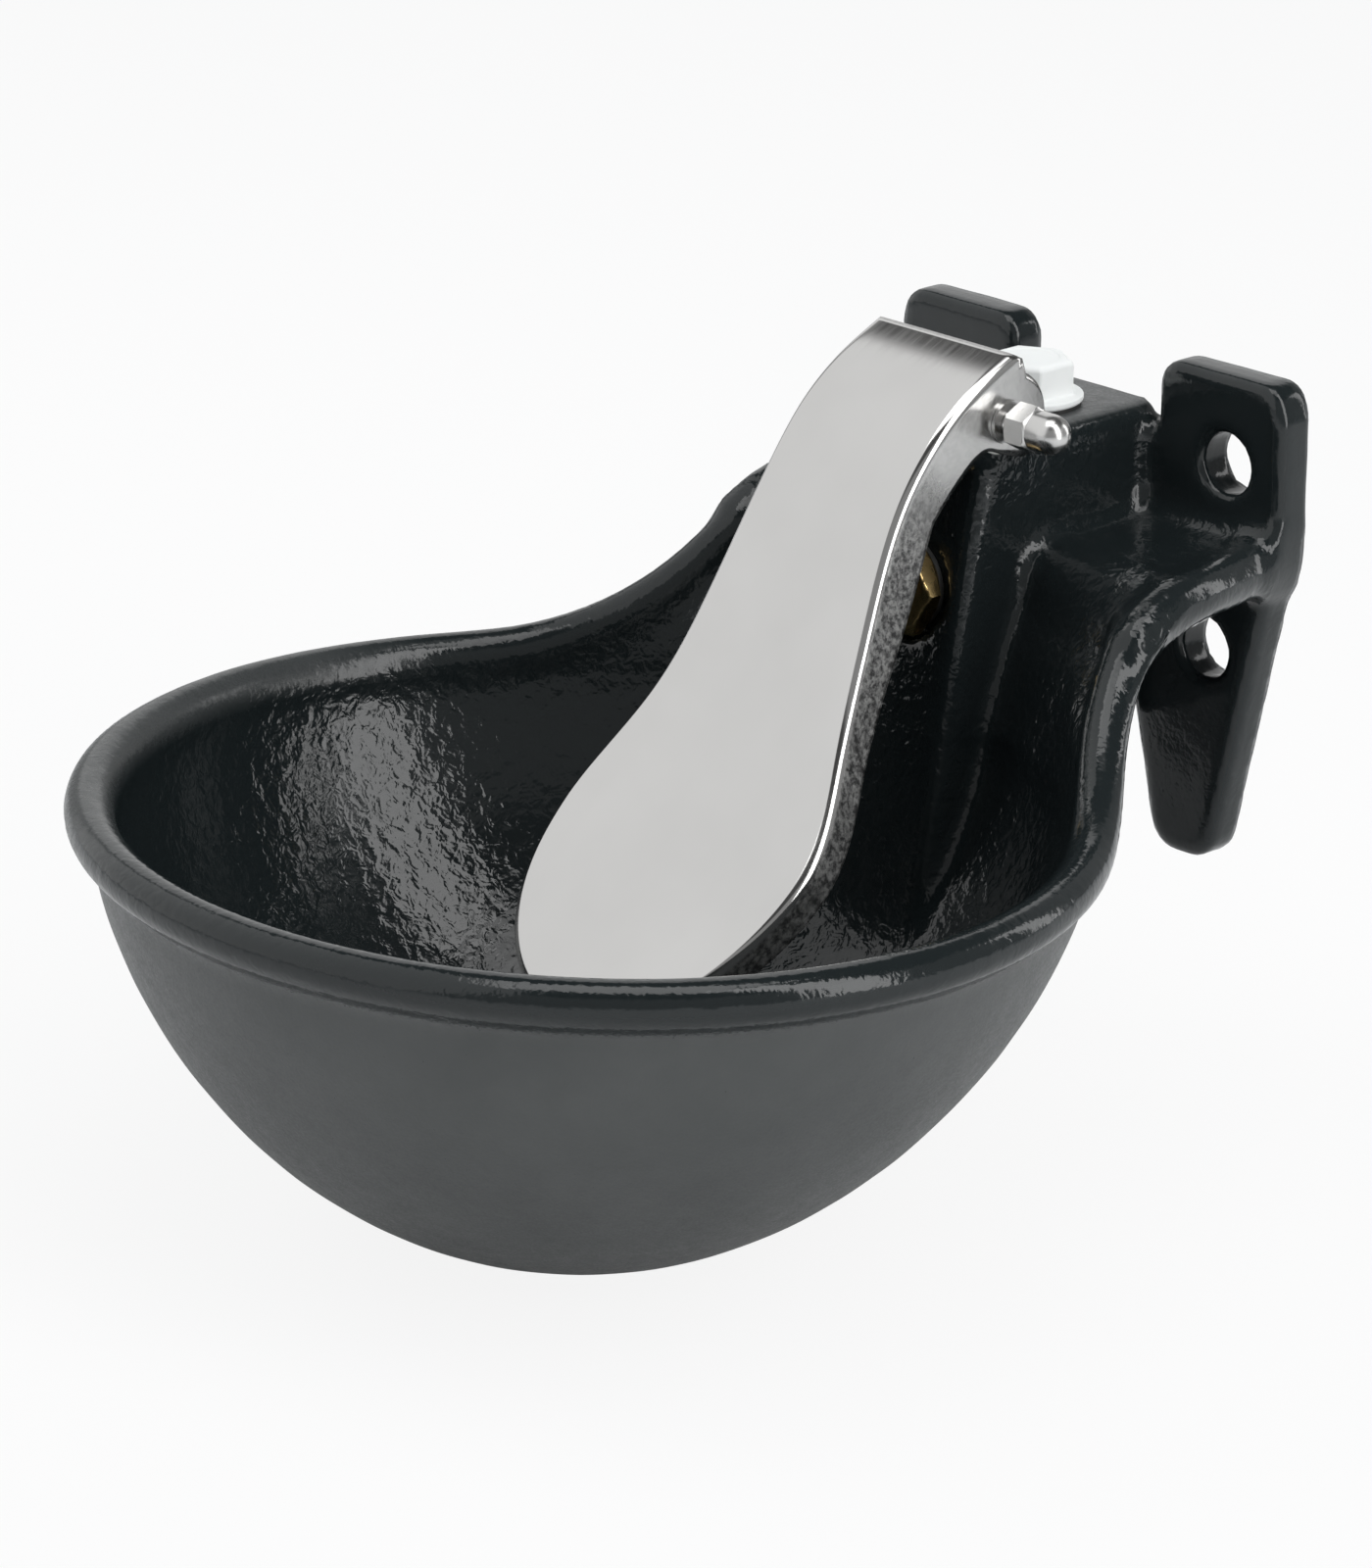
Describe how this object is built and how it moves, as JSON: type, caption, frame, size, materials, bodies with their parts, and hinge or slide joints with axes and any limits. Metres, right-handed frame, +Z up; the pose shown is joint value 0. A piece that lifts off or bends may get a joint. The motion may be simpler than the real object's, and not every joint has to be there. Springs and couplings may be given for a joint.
{
  "type": "livestock drinking bowl",
  "caption": "Enamelled cast iron livestock drinking bowl for wall mounting, with a pressed steel tongue that opens a spring-loaded brass water valve.",
  "frame": {"origin": "midpoint of the line between the two upper mounting holes, on the wall plane", "axes": "+Y points into the wall, -Y points at the animal, +Z is up, x = 0 is the plane of symmetry"},
  "size_m": [0.2496, 0.2795, 0.1896],
  "materials": {
    "enamelled_iron": "gloss black enamel over rough cast iron",
    "polished_stainless": "polished stainless steel",
    "brass": "turned, bright",
    "white_plastic": "moulded, satin",
    "bush_plastic": "moulded, satin",
    "rubber": "matte",
    "spring_steel": "drawn wire"
  },
  "bodies": {
    "bowl": {"bowl_casting": "enamelled_iron", "pivot_bolt": "polished_stainless", "acorn_nut": "polished_stainless", "pivot_washers": "polished_stainless", "pivot_bushes": "bush_plastic", "valve_body": "brass", "valve_gasket": "rubber", "stem_guide": "brass", "strainer_cage": "bush_plastic", "valve_spring": "spring_steel", "inlet_plug": "white_plastic", "plug_gasket": "rubber"},
    "tongue": {"drinking_tongue": "polished_stainless"},
    "stem": {"valve_stem": "polished_stainless", "stem_cap": "brass", "seat_seal": "rubber", "seal_plate": "brass", "stem_nut": "brass"}
  },
  "joints": [
    {"name": "tongue_press", "type": "hinge", "parent": "bowl", "child": "tongue", "pos_m": [0, -0.059, 0.015], "axis": [1, 0, 0], "range_deg": [0, 4], "stiffness_Nm_per_rad": 1.5, "springref_deg": -5.73},
    {"name": "stem_push", "type": "slide", "parent": "bowl", "child": "stem", "axis": [0, 1, 0], "range_m": [0, 0.0048], "deforming": ["valve_spring"]}
  ],
  "couplings": [
    {"joint": "stem_push", "follows": "tongue_press", "m_per_rad": 0.063}
  ]
}
